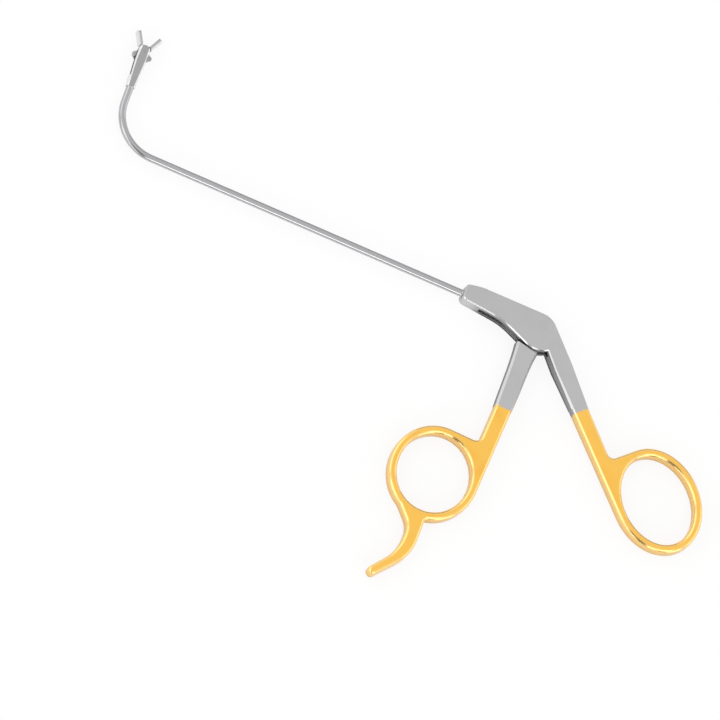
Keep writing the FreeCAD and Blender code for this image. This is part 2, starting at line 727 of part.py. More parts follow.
def jaw():
    """Left jaw, opened, with its tail in the upper half of the clevis slot."""
    low = TAIL_GAP
    high = TAIL_GAP + TAIL_THICKNESS
    closed_tail = TAIL_OPEN_ANGLE - JAW_SWING
    tail_end = JAW_PIVOT + turned(0, -TAIL_LENGTH, closed_tail)
    tail = strap(JAW_PIVOT, tail_end, JAW_HUB_R, TAIL_EYE_R, low, high)
    neck_top = JAW_PIVOT_Y + CUP_START + CUP_NECK_SINK
    neck = Part.makeBox(
        CUP_BASE_DEPTH - CUP_FACE_GAP, neck_top - JAW_PIVOT_Y, TAIL_THICKNESS,
        Vec(-TIP_AXIS - CUP_BASE_DEPTH, JAW_PIVOT_Y, MID_Z + low),
    )
    solid = cup_body().fuse([tail, neck]).removeSplitter()
    pivot_hole = through_hole(JAW_PIVOT, JAW_PIN_R + PIN_PLAY)
    tail_hole = through_hole(tail_end, LINK_PIN_R + SOLDER_GAP)
    solid = solid.cut([pivot_hole, tail_hole])
    solid.rotate(Vec(JAW_PIVOT.x, JAW_PIVOT.y, 0), Vec(0, 0, 1), JAW_SWING)
    return solid


def link():
    """Link from the left jaw's tail to the wire's tang."""
    tail_end = Vec(TAIL_HALF_X - TIP_AXIS, JAW_PIVOT_Y - TAIL_DROP, 0)
    rod_end = Vec(-TIP_AXIS, ROD_PIN_Y, 0)
    bar = strap(tail_end, rod_end, LINK_EYE_R, LINK_EYE_R, LINK_INNER, LINK_OUTER)
    tail_hole = through_hole(tail_end, LINK_PIN_R + PIN_PLAY)
    rod_hole = through_hole(rod_end, LINK_PIN_R + OPEN_PIVOT_PLAY)
    return bar.cut([tail_hole, rod_hole])


def tail_pin():
    """Pin that joins the left jaw's tail to its link."""
    tail_end = Vec(TAIL_HALF_X - TIP_AXIS, JAW_PIVOT_Y - TAIL_DROP, 0)
    return disc(tail_end, LINK_PIN_R, TAIL_GAP, LINK_OUTER)


def other_side(shape):
    """The same piece for the right jaw: turned half a turn about the tip axis."""
    centre = Vec(-TIP_AXIS, 0, MID_Z)
    return shape.mirror(centre, Vec(1, 0, 0)).mirror(centre, Vec(0, 0, 1))


def jaw_pivot_pin():
    """Pin of both jaws, flush with the clevis cheeks."""
    half = CLEVIS_SLOT / 2 + JAW_PIN_SEAT
    return disc(JAW_PIVOT, JAW_PIN_R, -half, half)


def link_rod_pin():
    """Pin that joins both links to the tang."""
    return disc(Vec(-TIP_AXIS, ROD_PIN_Y, 0), LINK_PIN_R, -LINK_OUTER, LINK_OUTER)


def build():
    """All pieces by node name."""
    left_jaw = jaw()
    left_link = link()
    left_pin = tail_pin()
    return {
        "fixed_handle": fixed_handle(),
        "lever_handle": lever_handle(),
        "lever_pivot_pin": lever_pivot_pin(),
        "shaft_tube": shaft_tube(),
        "pull_wire_rear": pull_wire_rear(),
        "pull_wire_bend": pull_wire_bend(),
        "pull_wire_front": pull_wire_front(),
        "wire_eye": wire_eye(),
        "wire_eye_pin": wire_eye_pin(),
        "wire_tang": wire_tang(),
        "jaw_clevis": jaw_clevis(),
        "jaw_a": left_jaw,
        "jaw_b": other_side(left_jaw),
        "link_a": left_link,
        "link_b": other_side(left_link),
        "tail_pin_a": left_pin,
        "tail_pin_b": other_side(left_pin),
        "jaw_pivot_pin": jaw_pivot_pin(),
        "link_rod_pin": link_rod_pin(),
    }


os.makedirs("parts", exist_ok=True)
for name, shape in build().items():
    shape.exportStep("parts/" + name + ".step")
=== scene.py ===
import logging
import math
from dataclasses import dataclass
from enum import Enum
from typing import Any, Iterable, Union

import bmesh
import bpy
from mathutils import Matrix, Vector


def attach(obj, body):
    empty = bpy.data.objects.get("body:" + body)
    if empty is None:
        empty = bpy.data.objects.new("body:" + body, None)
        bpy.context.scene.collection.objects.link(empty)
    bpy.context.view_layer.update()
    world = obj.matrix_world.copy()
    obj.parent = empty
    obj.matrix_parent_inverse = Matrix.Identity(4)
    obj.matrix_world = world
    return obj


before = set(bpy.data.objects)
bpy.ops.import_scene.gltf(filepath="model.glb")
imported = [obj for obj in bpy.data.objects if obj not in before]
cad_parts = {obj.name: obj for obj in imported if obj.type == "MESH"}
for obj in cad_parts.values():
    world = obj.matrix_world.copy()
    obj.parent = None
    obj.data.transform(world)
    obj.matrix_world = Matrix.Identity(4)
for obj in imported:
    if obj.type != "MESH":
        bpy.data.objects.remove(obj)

LOG = logging.getLogger("sinus_forceps")
MM = 0.001
MIDDLE_Z = 3.1 * MM
FLAT_FROM = 0.90
FLAT_TO = 0.985
ROUNDING_SAMPLES = 6
NOISE_ROUGHNESS = 0.55
CLOUD_DETAIL = 4.0
NOISE_DETAIL = 3.0
GRAIN_DETAIL = 2.0
# The sockets of the mixing nodes go by number, because their names repeat.
COLOUR_FACTOR, COLOUR_LOW, COLOUR_HIGH, COLOUR_RESULT = 0, 6, 7, 2
SHADER_FACTOR, SHADER_LOW, SHADER_HIGH = 0, 1, 2

Number = Union[int, float]
Operand = Union["Value", int, float]
Colour = tuple[float, float, float]
Point = tuple[float, float, float]
Spot = tuple[float, float]
Span = tuple[float, float]


def grey(level: float, blue: float | None = None) -> Colour:
    """A grey, with a blue part of its own where that is given."""
    return level, level, level if blue is None else blue


class Grind(Enum):
    """How a steel surface was finished: its grain's waves for each metre, along and across."""

    BRUSHED = (300.0, 14000.0)
    SATIN = (3200.0, 9000.0)
    DRAWN = (60.0, 9000.0)


class Value:
    """One output socket of a shader node, with arithmetic that adds Math nodes."""

    def __init__(self, graph: "Graph", socket: bpy.types.NodeSocket) -> None:
        """Keep the socket and the graph that it belongs to.

        Args:
            graph: The graph that new nodes go to.
            socket: The output socket that holds the value.
        """
        self.graph = graph
        self.socket = socket

    def _math(self, operation: str, *others: Operand, swap: bool = False) -> "Value":
        """Add a Math node.

        Args:
            operation: The node's operation.
            others: The further operands.
            swap: True where this value is the second operand.

        Returns:
            The node's result.
        """
        operands: list[Any] = [self, *others]
        if swap:
            operands.reverse()
        inputs = dict(enumerate(operands))
        return self.graph.node("ShaderNodeMath", {"operation": operation}, inputs)["Value"]

    def __add__(self, other: Operand) -> "Value":
        """Sum."""
        return self._math("ADD", other)

    def __radd__(self, other: Number) -> "Value":
        """Sum with a number on the left."""
        return self._math("ADD", other, swap=True)

    def __sub__(self, other: Operand) -> "Value":
        """Difference."""
        return self._math("SUBTRACT", other)

    def __rsub__(self, other: Number) -> "Value":
        """Difference from a number."""
        return self._math("SUBTRACT", other, swap=True)

    def __mul__(self, other: Operand) -> "Value":
        """Product."""
        return self._math("MULTIPLY", other)

    def __rmul__(self, other: Number) -> "Value":
        """Product with a number on the left."""
        return self._math("MULTIPLY", other, swap=True)

    def __truediv__(self, other: Operand) -> "Value":
        """Quotient."""
        return self._math("DIVIDE", other)

    def __rtruediv__(self, other: Number) -> "Value":
        """A number divided by this value."""
        return self._math("DIVIDE", other, swap=True)

    def __pow__(self, other: Operand) -> "Value":
        """Power."""
        return self._math("POWER", other)

    def __rpow__(self, other: Number) -> "Value":
        """A number to the power of this value."""
        return self._math("POWER", other, swap=True)

    def __abs__(self) -> "Value":
        """Absolute value."""
        return self._math("ABSOLUTE")

    def high(self, other: Operand) -> "Value":
        """The larger of two values."""
        return self._math("MAXIMUM", other)

    def low(self, other: Operand) -> "Value":
        """The smaller of two values."""
        return self._math("MINIMUM", other)

    def step(self, start: Number, end: Number) -> "Value":
        """Smooth step from 0 at start to 1 at end.

        Args:
            start: Where the step begins.
            end: Where the step is complete.

        Returns:
            A value from 0 to 1.
        """
        settings = {"interpolation_type": "SMOOTHSTEP", "clamp": True}
        inputs = {"Value": self, "From Min": start, "From Max": end, "To Min": 0.0, "To Max": 1.0}
        return self.graph.node("ShaderNodeMapRange", settings, inputs)["Result"]

    def mix(self, low: Number, high: Number) -> "Value":
        """Use this value as a factor between two numbers."""
        return self * (high - low) + low


class Outputs:
    """The output sockets of one node, by name."""

    def __init__(self, graph: "Graph", node: bpy.types.Node) -> None:
        """Keep the node and its graph."""
        self.graph = graph
        self.node = node

    def __getitem__(self, key: Union[str, int]) -> Value:
        """The output with that name or number."""
        return Value(self.graph, self.node.outputs[key])


class Graph:
    """A node tree that is filled through one method."""

    def __init__(self, tree: bpy.types.NodeTree) -> None:
        """Empty the tree and keep it."""
        tree.nodes.clear()
        self.tree = tree

    def node(self, kind: str, settings: dict[str, Any] | None = None,
             inputs: dict[Union[str, int], Any] | None = None) -> Outputs:
        """Add a node.

        Args:
            kind: The node's type.
            settings: Properties, which are set first.
            inputs: Values or links, by the socket's name or number.

        Returns:
            The node's outputs.
        """
        node = self.tree.nodes.new(kind)
        for name, value in (settings or {}).items():
            setattr(node, name, value)
        for key, value in (inputs or {}).items():
            if isinstance(value, Value):
                self.tree.links.new(value.socket, node.inputs[key])
            else:
                node.inputs[key].default_value = value
        return Outputs(self, node)

    def colours(self, factor: Value, low: Union[Value, Colour],
                high: Union[Value, Colour]) -> Value:
        """Mix two colours.

        Args:
            factor: 0 for the low colour and 1 for the high one.
            low: A colour or a colour socket.
            high: A colour or a colour socket.

        Returns:
            The mixed colour.
        """
        first, second = (end if isinstance(end, Value) else (*end, 1.0) for end in (low, high))
        inputs = {COLOUR_FACTOR: factor, COLOUR_LOW: first, COLOUR_HIGH: second}
        return self.node("ShaderNodeMix", {"data_type": "RGBA"}, inputs)[COLOUR_RESULT]

    def shaders(self, factor: Value, low: Value, high: Value) -> Value:
        """Mix two shaders.

        Args:
            factor: 0 for the low shader and 1 for the high one.
            low: A shader.
            high: A shader.

        Returns:
            The mixed shader.
        """
        inputs = {SHADER_FACTOR: factor, SHADER_LOW: low, SHADER_HIGH: high}
        return self.node("ShaderNodeMixShader", inputs=inputs)["Shader"]

    def surface(self, shader: Value) -> None:
        """Show a shader on the material."""
        self.node("ShaderNodeOutputMaterial", inputs={"Surface": shader})

    def split(self, vector: Value) -> tuple[Value, Value, Value]:
        """The three parts of a vector."""
        parts = self.node("ShaderNodeSeparateXYZ", inputs={0: vector})
        return parts["X"], parts["Y"], parts["Z"]

    def place(self) -> Value:
        """The point in the row frame at rest, in metres, which moves with its body."""
        return self.node("ShaderNodeTexCoord")["Object"]

    def facing(self) -> Value:
        """The surface's normal in the row frame at rest."""
        return self.node("ShaderNodeTexCoord")["Normal"]

    def noise(self, vector: Value, scale: Number, detail: Number = NOISE_DETAIL) -> Value:
        """Smooth noise from 0 to 1.

        Args:
            vector: Where it is read.
            scale: Waves for each metre.
            detail: How many finer layers it has.

        Returns:
            The noise value.
        """
        inputs = {"Vector": vector, "Scale": scale, "Detail": detail, "Roughness": NOISE_ROUGHNESS}
        return self.node("ShaderNodeTexNoise", inputs=inputs)["Fac"]

    def grain(self, angle: Number, along: Number, across: Number) -> Value:
        """Noise that is drawn out one way about Z.

        Args:
            angle: The grain's direction in degrees, from +X.
            along: Waves for each metre along the grain.
            across: Waves for each metre across the grain.

        Returns:
            The noise value.
        """
        turn = {"Vector": self.place(), "Rotation": (0.0, 0.0, -math.radians(angle))}
        turned = self.node("ShaderNodeMapping", {"vector_type": "POINT"}, turn)["Vector"]
        scale = {"Vector": turned, "Scale": (along, across, across)}
        scaled = self.node("ShaderNodeMapping", {"vector_type": "POINT"}, scale)["Vector"]
        return self.noise(scaled, 1.0, GRAIN_DETAIL)

    def flats(self, start: Number = FLAT_FROM, end: Number = FLAT_TO) -> Value:
        """Mask of the ground faces.

        Args:
            start: How upright the normal is where the mask begins.
            end: How upright it is where the mask is full.

        Returns:
            1 where the surface faces up or down.
        """
        _, _, up = self.split(self.facing())
        return abs(up).step(start, end)

    def sides(self, reach: Number = 0.45, upright: Number = 0.12) -> Value:
        """Mask of the side walls.

        Args:
            reach: How far up the normal may lean before the wall ends.
            upright: How far it may lean where the mask is still full.

        Returns:
            1 where the surface stands upright.
        """
        _, _, up = self.split(self.facing())
        return 1.0 - abs(up).step(upright, reach)


@dataclass(frozen=True)
class SteelFinish:
    """Steel, ground satin on its flat faces and polished on its edges, with a painted highlight on
    its edges and painted shade and highlights on its walls.
    """

    name: str
    tone: Colour = grey(0.53, 0.533)
    dull_tone: Colour = grey(0.48, 0.483)
    # The edge, wall, foot and nose tones are painted light: a painted highlight on the edges,
    # painted shade on the walls, a painted contact shadow at the walls' foot and a painted
    # highlight on the walls towards the nose.
    painted_edge_highlight: Colour = grey(0.54, 0.55)
    painted_wall_shade_and_light: Colour = grey(0.42, 0.43)
    painted_foot_shade_and_light: Colour = grey(0.13, 0.135)
    foot_from: float = 1.2 * MM
    foot_to: float = 2.5 * MM
    painted_nose_highlight_and_shade: Colour = grey(0.78, 0.79)
    nose_from: float = -4.0 * MM
    nose_to: float = -9.0 * MM
    rim_shine: float = 0.6
    satin: float = 0.34
    polish: float = 0.15
    grind: Grind = Grind.BRUSHED
    grain_angle: float = 0.0
    grain: float = 0.12
    grain_depth: float = 0.02 * MM
    flat_from: float = FLAT_FROM
    flat_to: float = FLAT_TO
    edge_radius: float = 0.12 * MM
    cloud_scale: float = 90.0
    cloud_span: Span = (0.3, 0.7)
    cloud_share: float = 0.55
    streak_share: float = 0.45
    streak_waves: Span = (120.0, 5200.0)
    smudge_scale: float = 260.0
    smudge_span: Span = (0.35, 0.75)
    smudge_depth: float = 0.05

    def ground(self, graph: Graph) -> Value:
        """1 on the faces that this finish grinds flat, and 0 on its edges."""
        return graph.flats(self.flat_from, self.flat_to)

    def colour(self, graph: Graph) -> Value:
        """Faint clouds on the ground faces, a painted highlight on the edges and painted shade and
        highlights on the walls.

        Args:
            graph: The material's graph.

        Returns:
            The base colour.
        """
        place = graph.place()
        cloud = graph.noise(place, self.cloud_scale, CLOUD_DETAIL).step(*self.cloud_span)
        streak = graph.grain(self.grain_angle, *self.streak_waves)
        shade = (cloud * self.cloud_share + streak * self.streak_share).low(1.0)
        ground = graph.colours(shade, self.dull_tone, self.tone)
        # Painted highlight on the edges, then painted shade and highlights on the walls.
        dressed = graph.colours(self.ground(graph), self.painted_edge_highlight, ground)
        return graph.colours(graph.sides(), dressed, self.walls_with_painted_light(graph, place))

    def walls_with_painted_light(self, graph: Graph, place: Value) -> Value:
        """The side walls' colour: painted shade, a darker painted contact shadow at the foot and a
        painted highlight towards the nose.

        Args:
            graph: The material's graph.
            place: The point in the row frame.

        Returns:
            The walls' base colour, with its painted shade and highlight.
        """
        x, _, z = graph.split(place)
        # Painted contact shadow at the foot, painted highlight towards the nose.
        rise = z.step(self.foot_from, self.foot_to)
        foot = graph.colours(rise, self.painted_foot_shade_and_light, self.painted_wall_shade_and_light)
        nose = 1.0 - x.step(self.nose_to, self.nose_from)
        return graph.colours(nose, foot, self.painted_nose_highlight_and_shade)

    def shader(self, graph: Graph) -> Value:
        """Add the steel's own metal shader.

        Args:
            graph: The material's graph.

        Returns:
            The shader's output.
        """
        flat = self.ground(graph)
        return graph.node("ShaderNodeBsdfPrincipled", inputs={
            "Base Color": self.colour(graph),
            "Metallic": 1.0,
            "Roughness": self.roughness(graph, flat),
            "Specular Tint": (*grey(self.rim_shine), 1.0),
            "Normal": self.normal(graph, flat),
        })["BSDF"]

    def roughness(self, graph: Graph, flat: Value) -> Value:
        """Satin on the flats, polished on the edges, with small smudges."""
        smudge = graph.noise(graph.place(), self.smudge_scale).step(*self.smudge_span)
        return flat.mix(self.polish, self.satin) + smudge * self.smudge_depth

    def normal(self, graph: Graph, flat: Value, radius: Number | None = None) -> Value:
        """Rounded edges and a fine grinding grain.

        Args:
            graph: The material's graph.
            flat: 1 on the ground faces.
            radius: The edges' rounding in metres, where it isn't this finish's own.

        Returns:
            The bumped normal.
        """
        settings = {"samples": ROUNDING_SAMPLES}
        reach = {"Radius": self.edge_radius if radius is None else radius}
        return graph.node("ShaderNodeBump", inputs={
            "Strength": self.grain,
            "Distance": self.grain_depth,
            "Height": graph.grain(self.grain_angle, *self.grind.value) * flat,
            "Normal": graph.node("ShaderNodeBevel", settings, reach)["Normal"],
        })["Normal"]


@dataclass(frozen=True)
class GoldFinish:
    """Gold plating on a steel ring."""

    tone: Colour = (1.0, 0.57, 0.080)
    warm: Colour = (0.96, 0.50, 0.058)
    # The edge, wall and foot tones are painted light: paler edges for a painted highlight, paler
    # walls for a painted reflection of the floor, and a darker painted contact shadow at the
    # walls' foot.
    painted_edge_highlight: Colour = (1.0, 0.65, 0.215)
    painted_wall_reflection: Colour = (0.92, 0.63, 0.24)
    painted_foot_shade_and_light: Colour = (0.78, 0.50, 0.17)
    rim_tint: Colour = (1.0, 0.78, 0.42)
    foot_from: float = 2.1 * MM
    foot_to: float = 3.3 * MM
    wall_reach: float = 0.75
    flat_from: float = 0.95
    flat_to: float = 0.993
    satin: float = 0.30
    polish: float = 0.12
    coat: float = 0.9
    coat_roughness: float = 0.08
    edge_radius: float = 0.8 * MM
    cloud_scale: float = 110.0
    cloud_span: Span = (0.42, 0.8)
    smudge_scale: float = 340.0
    smudge_span: Span = (0.4, 0.8)
    smudge_depth: float = 0.06

    def colour(self, graph: Graph, flat: Value) -> Value:
        """Faint warm clouds on the flats, a painted highlight on the rounded edges, a painted
        reflection on the walls and a painted contact shadow at their foot.

        Args:
            graph: The material's graph.
            flat: 1 on the satin faces.

        Returns:
            The base colour.
        """
        place = graph.place()
        cloud = graph.noise(place, self.cloud_scale, CLOUD_DETAIL).step(*self.cloud_span)
        satin = graph.colours(cloud, self.tone, self.warm)
        _, _, height = graph.split(place)
        # Painted contact shadow at the walls' foot, painted reflection on the walls, painted
        # highlight on the edges.
        rise = height.step(self.foot_from, self.foot_to)
        walls_with_painted_light = graph.colours(rise, self.painted_foot_shade_and_light, self.painted_wall_reflection)
        edges_with_painted_light = graph.colours(graph.sides(self.wall_reach), self.painted_edge_highlight, walls_with_painted_light)
        return graph.colours(flat, edges_with_painted_light, satin)

    def roughness(self, graph: Graph, flat: Value) -> Value:
        """Satin on the flats and polished on the rounded edges."""
        smudge = graph.noise(graph.place(), self.smudge_scale).step(*self.smudge_span)
        return flat.mix(self.polish, self.satin) + smudge * self.smudge_depth

    def shader(self, graph: Graph, normal: Value) -> Value:
        """Add the plating's own metal shader.

        Args:
            graph: The material's graph.
            normal: The normal, which has the grain of the steel below.

        Returns:
            The shader's output.
        """
        flat = graph.flats(self.flat_from, self.flat_to)
        return graph.node("ShaderNodeBsdfPrincipled", inputs={
            "Base Color": self.colour(graph, flat),
            "Metallic": 1.0,
            "Roughness": self.roughness(graph, flat),
            "Specular Tint": (*self.rim_tint, 1.0),
            "Coat Weight": self.coat,
            "Coat Roughness": self.coat_roughness,
            "Normal": normal,
        })["BSDF"]


@dataclass(frozen=True)
class PlatingLine:
    """Where the plating starts on a handle: a line across it, uneven from the masking."""

    start: Spot
    angle: float
    wave: float = 1.2 * MM
    wave_scale: float = 620.0
    soft: float = 0.05 * MM

    @classmethod
    def before(cls, ring: Spot, slope: float, length: float) -> "PlatingLine":
        """The line across a handle at some way before its ring.

        Args:
            ring: The centre of the handle's ring.
            slope: The handle's direction in degrees, from +X.
            length: How far before the ring's centre the plating starts, in metres.

        Returns:
            The line.
        """
        heading = math.radians(slope)
        start = (ring[0] - length * math.cos(heading), ring[1] - length * math.sin(heading))
        return cls(start, slope)

    def mask(self, graph: Graph) -> Value:
        """How much of the surface is plated.

        Args:
            graph: The material's graph.

        Returns:
            0 on bare steel and 1 on the plating.
        """
        x, y, _ = graph.split(graph.place())
        heading = math.radians(self.angle)
        east, north = x - self.start[0], y - self.start[1]
        along = east * math.cos(heading) + north * math.sin(heading)
        uneven = (graph.noise(graph.place(), self.wave_scale) - 0.5) * (2.0 * self.wave)
        return (along + uneven).step(-self.soft, self.soft)


class Dresser:
    """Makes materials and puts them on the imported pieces."""

    def __init__(self, nodes: dict[str, bpy.types.Object]) -> None:
        """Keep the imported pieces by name."""
        self.nodes = nodes

    def paint(self, material: bpy.types.Material, names: Iterable[str]) -> None:
        """Put one material on some pieces.

        Args:
            material: The material.
            names: The pieces' names.
        """
        for name in names:
            mesh = self.nodes[name].data
            mesh.materials.clear()
            mesh.materials.append(material)
            LOG.info("%s wears %s", name, material.name)

    @staticmethod
    def start(name: str) -> tuple[bpy.types.Material, Graph]:
        """Make a material.

        Args:
            name: The material's name.

        Returns:
            The material and its empty graph.
        """
        material = bpy.data.materials.new(name)
        material.use_nodes = True
        return material, Graph(material.node_tree)

    def steel(self, finish: SteelFinish) -> bpy.types.Material:
        """A material of bare steel.

        Args:
            finish: The steel's finish.

        Returns:
            The material.
        """
        material, graph = self.start(finish.name)
        graph.surface(finish.shader(graph))
        return material

    def part_plated(self, steel: SteelFinish, gold: GoldFinish,
                    line: PlatingLine) -> bpy.types.Material:
        """A material of steel that is gold plated past a line.

        Args:
            steel: The bare part's finish.
            gold: The plating's finish.
            line: Where the plating starts.

        Returns:
            The material.
        """
        material, graph = self.start(steel.name)
        bare = steel.shader(graph)
        plated = gold.shader(graph, steel.normal(graph, graph.flats(), gold.edge_radius))
        graph.surface(graph.shaders(line.mask(graph), bare, plated))
        return material


@dataclass(frozen=True)
class SolderFinish:
    """Silver solder: less even than the steel beside it."""

    name: str = "silver_solder"
    tone: Colour = grey(0.60, 0.59)
    dull_tone: Colour = grey(0.34, 0.33)
    roughness: float = 0.24
    uneven: float = 0.12
    flow_scale: float = 1500.0
    flow_span: Span = (0.3, 0.7)
    ripple: float = 0.3
    ripple_depth: float = 0.05 * MM

    def material(self) -> bpy.types.Material:
        """A material of flowed solder.

        Returns:
            The material.
        """
        material, graph = Dresser.start(self.name)
        flow = graph.noise(graph.place(), self.flow_scale)
        ripples = {"Strength": self.ripple, "Distance": self.ripple_depth, "Height": flow}
        graph.surface(graph.node("ShaderNodeBsdfPrincipled", inputs={
            "Base Color": graph.colours(flow.step(*self.flow_span), self.dull_tone, self.tone),
            "Metallic": 1.0,
            "Roughness": flow * self.uneven + self.roughness,
            "Normal": graph.node("ShaderNodeBump", inputs=ripples)["Normal"],
        })["BSDF"])
        return material


@dataclass
class SolderSeam:
    """The hollow fillet of solder where the tube enters another piece."""

    name: str
    place: Point
    axis: Point
    radius: float = 1.2 * MM
    rise: float = 0.32 * MM
    run: float = 0.4 * MM
    sink: float = 0.03 * MM
    segments: int = 64
    steps: int = 8

    def profile(self) -> list[tuple[float, float]]:
        """The seam's closed outline.

        Returns:
            Pairs of a distance in front of the face and a radius, from the foot on the tube.
        """
        sunk = self.radius - self.sink
        points = [(self.run, sunk), (0.0, sunk), (0.0, self.radius + self.rise)]
        for i in range(1, self.steps + 1):
            turn = math.pi / 2 * i / self.steps
            front = self.run * (1.0 - math.cos(turn))
            points.append((front, self.radius + self.rise * (1.0 - math.sin(turn))))
        return points

    def build(self) -> bpy.types.Object:
        """Turn the outline round the tube's axis.

        Returns:
            The seam.
        """
        built = bmesh.new()
        outline = self.profile()
        turn = Vector(self.axis).to_track_quat("Z", "Y").to_matrix()
        rings = []
        for i in range(self.segments):
            angle = 2.0 * math.pi * i / self.segments
            ring = []
            for front, radius in outline:
                local = Vector((radius * math.cos(angle), radius * math.sin(angle), front))
                ring.append(built.verts.new(turn @ local + Vector(self.place)))
            rings.append(ring)
        for i, ring in enumerate(rings):
            following = rings[(i + 1) % self.segments]
            for j in range(len(outline)):
                k = (j + 1) % len(outline)
                built.faces.new((ring[j], following[j], following[k], ring[k])).smooth = True
        bmesh.ops.recalc_face_normals(built, faces=built.faces)
        mesh = bpy.data.meshes.new(self.name)
        built.to_mesh(mesh)
        built.free()
        seam = bpy.data.objects.new(self.name, mesh)
        bpy.context.scene.collection.objects.link(seam)
        LOG.info("%s is built", self.name)
        return seam

    def dress(self, material: bpy.types.Material) -> None:
        """Build the seam, give it its solder and let it ride with the housing.

        Args:
            material: The solder.
        """
        seam = self.build()
        seam.data.materials.append(material)
        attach(seam, "fixed")


@dataclass
class FixedHandle:
    """The slotted housing with its rear handle, thumb ring and pivot pin."""

    thumb_centre: Spot = (68.0 * MM, -37.9 * MM)
    slope: float = -46.5
    plated_length: float = 34.7 * MM
    grain_angle: float = -20.0

    def dress(self, dresser: Dresser) -> None:
        """Put steel and plating on the handle, and steel on its pin.

        Args:
            dresser: Makes the materials and puts them on.
        """
        steel = SteelFinish("handle_steel_rear", grain_angle=self.grain_angle)
        line = PlatingLine.before(self.thumb_centre, self.slope, self.plated_length)
        dresser.paint(dresser.part_plated(steel, GoldFinish(), line), ["fixed_handle"])
        pin = SteelFinish("pivot_pin_steel", grain_angle=self.grain_angle)
        dresser.paint(dresser.steel(pin), ["lever_pivot_pin"])


@dataclass
class LeverHandle:
    """The front handle with its finger ring and rest."""

    ring_centre: Spot = (-1.2 * MM, -58.9 * MM)
    slope: float = -91.8
    plated_length: float = 29.1 * MM
    # Painted highlight: the lever's edges are lighter than its faces.
    painted_edge_highlight: Colour = grey(0.66, 0.67)
    edge_polish: float = 0.34

    def dress(self, dresser: Dresser) -> None:
        """Put steel and plating on the lever.

        Args:
            dresser: Makes the material and puts it on.
        """
        steel = SteelFinish(
            "handle_steel_lever", painted_edge_highlight=self.painted_edge_highlight, polish=self.edge_polish,
            grain_angle=self.slope,
        )
        line = PlatingLine.before(self.ring_centre, self.slope, self.plated_length)
        dresser.paint(dresser.part_plated(steel, GoldFinish(), line), ["lever_handle"])


@dataclass
class Shaft:
    """The bent tube, the wire inside it and the solder at both its ends."""

    # The tube's wall, foot and nose tones are a painted reflection, lighter than its own tone on
    # its sides.
    tube: SteelFinish = SteelFinish(
        "tube_steel", tone=grey(0.46, 0.47), dull_tone=grey(0.43, 0.44),
        painted_edge_highlight=grey(0.455, 0.465), painted_wall_shade_and_light=grey(0.64, 0.65), painted_foot_shade_and_light=grey(0.64, 0.65),
        painted_nose_highlight_and_shade=grey(0.64, 0.65), rim_shine=1.0, satin=0.17, polish=0.17,
        grind=Grind.DRAWN, grain=0.05,
    )
    wire: SteelFinish = SteelFinish(
        "wire_steel", tone=grey(0.45, 0.46), satin=0.3, polish=0.25, grind=Grind.DRAWN,
    )
    nose_place: Point = (-12.6 * MM, 0.0, MIDDLE_Z)
    clevis_place: Point = (-133.8 * MM, 18.9 * MM, MIDDLE_Z)
    clevis_rise: float = 0.2 * MM
    clevis_run: float = 0.26 * MM

    def seams(self) -> tuple[SolderSeam, SolderSeam]:
        """Place the solder at both ends of the tube.

        Returns:
            The seam at the housing's nose and the smaller one at the clevis.
        """
        nose = SolderSeam("nose_solder_seam", self.nose_place, (-1.0, 0.0, 0.0))
        clevis = SolderSeam("clevis_solder_seam", self.clevis_place, (0.0, -1.0, 0.0),
                            rise=self.clevis_rise, run=self.clevis_run)
        return nose, clevis

    def dress(self, dresser: Dresser) -> None:
        """Put polished steel on the tube, drawn steel on the wire and solder on the seams.

        Args:
            dresser: Makes the materials and puts them on.
        """
        dresser.paint(dresser.steel(self.tube), ["shaft_tube"])
        dresser.paint(dresser.steel(self.wire), [
            "pull_wire_rear", "pull_wire_bend", "pull_wire_front",
            "wire_eye", "wire_eye_pin", "wire_tang",
        ])
        solder = SolderFinish().material()
        for seam in self.seams():
            seam.dress(solder)


